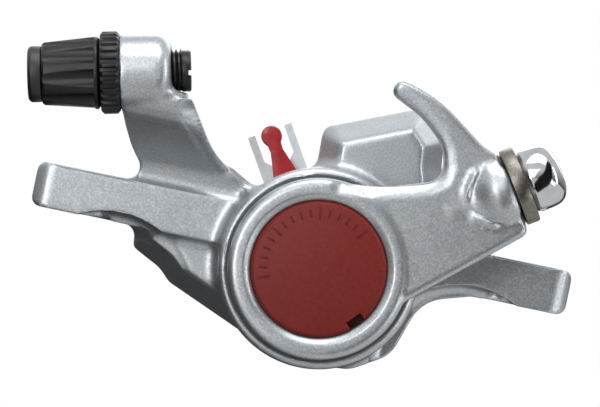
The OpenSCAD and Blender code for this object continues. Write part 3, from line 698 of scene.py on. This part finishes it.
bolt = turned("polished_bolt", bolt_profile)
key_radius = key_width / 2 / math.cos(math.radians(30))
cut(bolt, rod("socket_cutter", key_radius, head_top - socket_depth, head_top + 1, sides=6))
round_edges(bolt, 0.18 * mm, 3, sharper_than=35)
place(bolt, clamp_place)
smooth(bolt)
finish_piece(bolt, "arm", polished_steel, "clamp_bolt")

# %% [markdown]
# The washer under the head is thick and was tumbled, so its rims are well rounded. It is
# turned from a profile too, which starts and ends at the hole.

# %% Turn the clamp washer
hole_r = 3.1
rim_r = 6.9
washer = turned("tumbled_washer", [
    (hole_r, 0), (rim_r - 0.5, 0), (rim_r - 0.1, 0.1), (rim_r, 0.4),
    (rim_r, washer_t - 0.4), (rim_r - 0.1, washer_t - 0.1), (rim_r - 0.5, washer_t),
    (hole_r, washer_t), (hole_r, 0)])
place(washer, clamp_place)
smooth(washer)
finish_piece(washer, "arm", tumbled_steel, "clamp_washer")

# %% [markdown]
# ## The barrel and its thread
#
# The barrel's tail comes out of the boss with its thread showing. A thread is a tooth that
# winds round a rod, so its radius depends only on how far a point lies along the rod less
# the share of a turn that it lies round it. The mesh is a grid over angle and length whose
# radius follows that rule, closed by a flat fan at each end.

# %% Helper for a thread
def threaded_rod(name, bottom, top, crest, root, pitch, around=96, along=120):
    flank_slope = 3.2
    points = []
    for row in range(along + 1):
        z = bottom + (top - bottom) * row / along
        for column in range(around):
            share = (z / pitch - column / around) % 1
            tooth = min(1, flank_slope * min(share, 1 - share))
            radius = crest - (crest - root) * tooth
            angle = math.tau * column / around
            points.append((radius * math.cos(angle) * mm, radius * math.sin(angle) * mm, z * mm))
    points += [(0, 0, bottom * mm), (0, 0, top * mm)]
    last_row = along * around
    faces = []
    for column in range(around):
        beside = (column + 1) % around
        faces.append((beside, column, len(points) - 2))
        faces.append((last_row + column, last_row + beside, len(points) - 1))
        for start in range(0, last_row, around):
            faces.append((start + column, start + beside, start + beside + around, start + column + around))
    data = bpy.data.meshes.new(name)
    data.from_pydata(points, [], faces)
    piece = bpy.data.objects.new(name, data)
    bpy.context.scene.collection.objects.link(piece)
    return piece


thread_pitch = 0.8
thread_crest = 3.93
thread_root = 3.4
print("thread with a pitch of", thread_pitch, "mm")

# %% [markdown]
# The barrel's own plain tail is cut away, and two pieces take its place: the thread, and a
# plain stub with the hole for the cable and a shallow slit in its end. The thread starts a
# little inside the barrel and ends a little inside the stub.

# %% Put the threaded tail on the barrel
def block(name, size, centre, degrees=0):
    """A block turned about Z, from sizes in millimetres."""
    bpy.ops.mesh.primitive_cube_add(size=1, location=Vector(centre) * mm,
                                    rotation=(0, 0, math.radians(degrees)))
    piece = named(name)
    piece.scale = Vector(size) * mm
    pick(piece)
    bpy.ops.object.transform_apply(location=True, rotation=True, scale=True)
    return piece


barrel_place = looking_along(barrel_origin, barrel_axis)
barrel = copy_of("barrel_adjuster", "fluted_barrel")
tail_start = 8.6
tail_end = 12.35
tail_cutter_r = 6
stub_start = tail_start + 2.0
thread_start = tail_start - 0.3
thread_end = stub_start + 0.2
stub_r = 3.6
cable_hole_r = 1.3
slit_width = 1.0
slit_depth = 0.5

tail_cutter = rod("tail_cutter", tail_cutter_r, tail_start, tail_end + 2)
place(tail_cutter, barrel_place)
cut(barrel, tail_cutter)
soften(barrel, 0.15 * mm)

thread = threaded_rod("thread", thread_start, thread_end, thread_crest, thread_root, thread_pitch)
stub = rod("stub", stub_r, stub_start, tail_end)
round_edges(stub, 0.3 * mm, 2, sharper_than=35)
cut(stub, rod("cable_hole", cable_hole_r, stub_start + 0.1, tail_end + 1, sides=32))
cut(stub, block("slit", (9, slit_width, 2 * slit_depth), (0, -0.3, tail_end)))
for part in (thread, stub):
    place(part, barrel_place)
    smooth(part)
joined(barrel, thread, stub)
finish_piece(barrel, "barrel", anodised, "barrel_adjuster")

# %% [markdown]
# ## The cap and its ticks
#
# The cap carries a ring of short radial marks along its upper left rim, pressed in by the
# mould. They are cut as a row of thin blocks, each turned about the cap's axis and joined
# into one cutter. It reaches 0.8 mm behind the top of the shallow dome, so it only just
# sinks into the cap out here by the rim.

# %% Press the ticks into the cap
tick_ring = 9.7
tick_width = 0.42
tick_reach = 0.8
short_tick = 1.4
long_tick = 2.2

cap = copy_of("arm_cap", "marked_cap")
cap_front = -min(v.co.y for v in cap.data.vertices) / mm + arm_axis.y / mm
ticks = []
for angle in range(50, 201, 10):
    length = long_tick if angle % 50 == 0 else short_tick
    across = tick_ring * math.cos(math.radians(angle))
    upwards = tick_ring * math.sin(math.radians(angle))
    size = (length, tick_width, 2 * tick_reach)
    ticks.append(block(f"tick_{angle}", size, (across, upwards, cap_front), angle))
marks = joined(*ticks)
place(marks, looking_along(arm_axis, (0, -1, 0)))
cut(cap, marks)
smooth(cap, 30)
finish_piece(cap, "arm", red_plastic, "arm_cap")

# %% [markdown]
# ## Studio
#
# The caliper was photographed on white with large soft boxes. A big box hangs overhead and
# a little in front, two boxes lift the left side from in front, one of them low, and a
# strip on the right draws the light edges. Two weak boxes fill the underside from the
# right, and one stands behind for views of the back. Sizes here are in metres and watts.

# %% Hang the lamps
def softbox(name, place, target, width, height, power):
    data = bpy.data.lights.new(name, "AREA")
    data.shape = "RECTANGLE"
    data.size = width
    data.size_y = height
    data.energy = power
    lamp = bpy.data.objects.new(name, data)
    bpy.context.scene.collection.objects.link(lamp)
    lamp.location = place
    lamp.rotation_euler = (Vector(target) - Vector(place)).to_track_quat("-Z", "Y").to_euler()
    print(f"{name}: {power} W")


middle = (0, 0, 0.008)
hub_side = (0.01, -0.02, -0.01)
softbox("overhead_box", (-0.08, -0.16, 0.42), middle, 0.40, 0.26, 1.3)
softbox("left_box", (-0.26, -0.62, 0.20), middle, 0.30, 0.30, 0.9)
softbox("low_left_box", (-0.40, -0.72, -0.03), middle, 0.20, 0.20, 1.0)
softbox("right_strip", (0.46, -0.16, 0.20), middle, 0.08, 0.40, 0.8)
softbox("low_fill", (0.26, -0.46, -0.04), middle, 0.26, 0.18, 0.2)
softbox("low_right_box", (0.38, -0.34, -0.09), hub_side, 0.16, 0.10, 0.35)
softbox("back_box", (0.10, 0.50, 0.30), middle, 0.50, 0.30, 0.9)

# %% [markdown]
# A polished dome only looks polished when it mirrors something dark next to something
# bright. A photographer hangs a black flag beside the lens for that. This one is seen by
# mirror rays alone, so it neither shades the caliper nor stands in the picture.

# %% Hang a black flag for the bolt
flag_offset = Vector((0.036, -0.100, 0.012))
flag_width = 0.075
flag_height = 0.36
flag_tilt = math.radians(16)

bpy.ops.mesh.primitive_plane_add(size=1)
flag = named("bolt_flag")
flag.scale = (flag_width, flag_height, 1)
pick(flag)
bpy.ops.object.transform_apply(scale=True)
facing_bolt = looking_along(clamp_origin + flag_offset, -flag_offset)
place(flag, facing_bolt @ Matrix.Rotation(flag_tilt, 4, "Z"))
for kind in ("camera", "diffuse", "shadow", "transmission", "volume_scatter"):
    setattr(flag, "visible_" + kind, False)
flag.data.materials.append(grained("black_cloth", 2 * mm, [(0.3, "#050505"), (0.7, "#0A0A0A")], 0.9,
                                   0.015 * mm, strength=0.4))

# %% [markdown]
# ## The room
#
# Glossy paint shows the room that it stands in. So mirror rays see a ramp from black below
# to near white above, which draws the long soft gradients on the silver, while the camera
# sees plain white. Rays that light the caliper get a dim fill of their own, so that the
# white of the picture adds no light.

# %% Hang the room round the caliper
def light_room():
    world = bpy.data.worlds.new("studio")
    bpy.context.scene.world = world
    world.use_nodes = True
    tree = world.node_tree
    tree.nodes.clear()

    direction = add(tree, "TexCoord").outputs["Generated"]
    upward = add(tree, "SeparateXYZ", Vector=direction).outputs["Z"]
    height = add(tree, "MapRange", Value=upward, From_Min=-1, From_Max=1).outputs["Result"]
    fill = add(tree, "ValToRGB", stops=[(0.30, "#242526"), (0.70, "#D4D6D8")], Fac=height)
    lighting = add(tree, "Background", Color=fill.outputs["Color"], Strength=0.42)

    leaning = add(tree, "VectorMath", {"operation": "DOT_PRODUCT"}, _0=direction, _1=(-0.20, 0.0, 0.98))
    level = add(tree, "MapRange", Value=leaning.outputs["Value"], From_Min=-1, From_Max=1)
    room = add(tree, "ValToRGB", Fac=level.outputs["Result"],
               stops=[(0.05, "#0A0B0C"), (0.36, "#2A2B2C"), (0.47, "#7C7D7F"), (0.53, "#A0A1A3"),
                      (0.70, "#F4F5F6")])
    rays = add(tree, "LightPath").outputs
    white = add(tree, "Mix", {"data_type": "RGBA"},
                _0=rays["Is Camera Ray"], _6=room.outputs["Color"], _7=(1, 1, 1, 1))
    backdrop = add(tree, "Background", Color=white.outputs[2], Strength=1.0)

    sharp = add(tree, "Math", {"operation": "MAXIMUM"}, _0=rays["Is Camera Ray"], _1=rays["Is Glossy Ray"])
    seeing = add(tree, "Math", {"operation": "MAXIMUM"}, _0=sharp.outputs[0], _1=rays["Is Transmission Ray"])
    mix = add(tree, "MixShader", Fac=seeing.outputs[0], _1=lighting.outputs[0], _2=backdrop.outputs[0])
    add(tree, "OutputWorld", Surface=mix.outputs[0])
    return world


print(light_room().name, "lit")

# %% [markdown]
# ## The floor
#
# The caliper hangs over a sheet of paper. For the camera the sheet glows nearly white
# below it and fades to plain white further out, so no edge shows. For mirror rays it is
# dark towards the left and the back and bright towards the right and the front, as the
# underside of the silver shows it. All other rays meet a dull grey paper.

# %% Lay the floor
floor_drop = 90 * mm


def floor_paper():
    material = bpy.data.materials.new("pale_paper")
    material.use_nodes = True
    tree = material.node_tree
    tree.nodes.clear()

    where = add(tree, "TexCoord").outputs["Object"]
    radius = add(tree, "VectorMath", {"operation": "LENGTH"}, _0=where).outputs["Value"]
    far = add(tree, "MapRange", Value=radius, From_Min=0.12, From_Max=0.4, To_Min=0.86, To_Max=1.0)
    rays = add(tree, "LightPath").outputs
    camera = add(tree, "Math", {"operation": "MULTIPLY"}, _0=rays["Is Camera Ray"], _1=far.outputs[0])

    mirrored = add(tree, "Math", {"operation": "MAXIMUM"},
                   _0=rays["Is Glossy Ray"], _1=rays["Is Transmission Ray"])
    forwards = add(tree, "VectorMath", {"operation": "DOT_PRODUCT"}, _0=where, _1=(1, -1, 0)).outputs["Value"]
    sheen = add(tree, "MapRange", Value=forwards, From_Min=-0.05, From_Max=0.05, To_Min=0.02, To_Max=0.85)
    mirror = add(tree, "Math", {"operation": "MULTIPLY"}, _0=mirrored.outputs[0], _1=sheen.outputs[0])
    share = add(tree, "Math", {"operation": "MAXIMUM"}, _0=camera.outputs[0], _1=mirror.outputs[0])

    paper = add(tree, "BsdfDiffuse", Color=paint("#3C3C3C"))
    glow = add(tree, "Emission", Color=(1, 1, 1, 1), Strength=1.0)
    sheet = add(tree, "MixShader", Fac=share.outputs[0], _1=paper.outputs[0], _2=glow.outputs[0])
    add(tree, "OutputMaterial", Surface=sheet.outputs[0])
    return material


lowest = cad_bounds[0][2]
bpy.ops.mesh.primitive_plane_add(size=60, location=(0, 0, lowest - floor_drop))
floor = named("floor")
floor.data.materials.append(floor_paper())
bpy.context.scene.view_settings.view_transform = "Standard"
print(f"floor {(floor_drop - lowest) / mm:.0f} mm below the origin")
